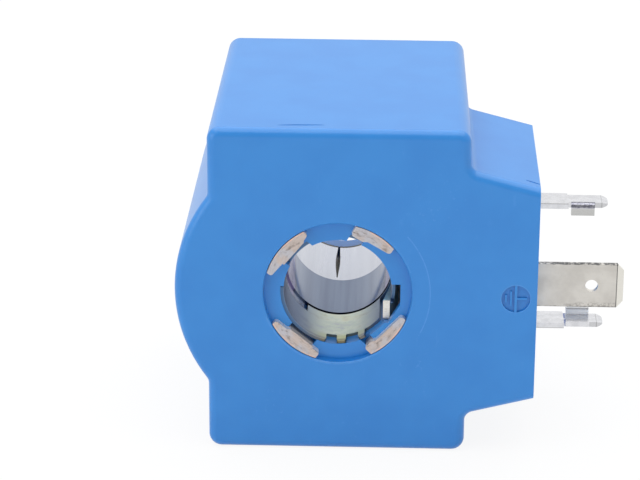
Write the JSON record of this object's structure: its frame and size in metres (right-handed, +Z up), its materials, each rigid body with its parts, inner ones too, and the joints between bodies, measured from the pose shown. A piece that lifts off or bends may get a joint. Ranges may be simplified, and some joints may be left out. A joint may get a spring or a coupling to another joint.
{
  "type": "solenoid valve coil",
  "caption": "Encapsulated solenoid coil with a through bore, a snap tongue that catches the valve's tube and a side nose with flat plug blades.",
  "frame": {"origin": "on the bore's axis, halfway through the moulded block's depth", "axes": "+X towards the plug blades, +Y along the bore from the clip end to the rear, +Z up with the block on its flat underside"},
  "size_m": [0.0618, 0.0438, 0.047],
  "materials": {
    "housing_plastic": "satin moulded thermoplastic",
    "bobbin_plastic": "natural glass-filled nylon",
    "copper_wire": "enamelled copper wire",
    "amber_tape": "amber polyester tape",
    "yoke_steel": "zinc-plated strip",
    "sheared_steel": "sheared ends of a plated steel sleeve",
    "bright_steel": "bright rolled steel",
    "polished_steel": "polished drawn tube",
    "chromated_steel": "yellow chromated spring steel",
    "spring_steel": "chromated spring steel with a sheared tip",
    "tinned_brass": "tin-plated brass",
    "nickel_steel": "nickel-plated strip",
    "rivet_brass": "plain brass",
    "sleeve_rubber": "silicone sleeving",
    "solder": "dull tin solder"
  },
  "bodies": {
    "coil": {"housing": "housing_plastic", "bobbin": "bobbin_plastic", "winding": "copper_wire", "winding_tape": "amber_tape", "yoke_frame": "yoke_steel", "yoke_plate": "yoke_steel", "front_pole_sleeve": "sheared_steel", "rear_pole_sleeve": "bright_steel", "guide_liner": "polished_steel", "clip_band": "chromated_steel", "line_terminal_upper": "tinned_brass", "line_terminal_lower": "tinned_brass", "earth_terminal": "nickel_steel", "earth_rivet": "rivet_brass", "terminal_carrier": "bobbin_plastic", "start_lead": "copper_wire", "finish_lead": "copper_wire", "lead_sleeves": "sleeve_rubber", "solder_joints": "solder"},
    "tongue": {"snap_tongue": "spring_steel"}
  },
  "joints": [
    {"name": "tongue_flex", "type": "hinge", "parent": "coil", "child": "tongue", "pos_m": [0.0079, -0.0123, -0.0034], "axis": [0, 0, 1], "range_deg": [0, 8], "stiffness_Nm_per_rad": 0.05}
  ]
}
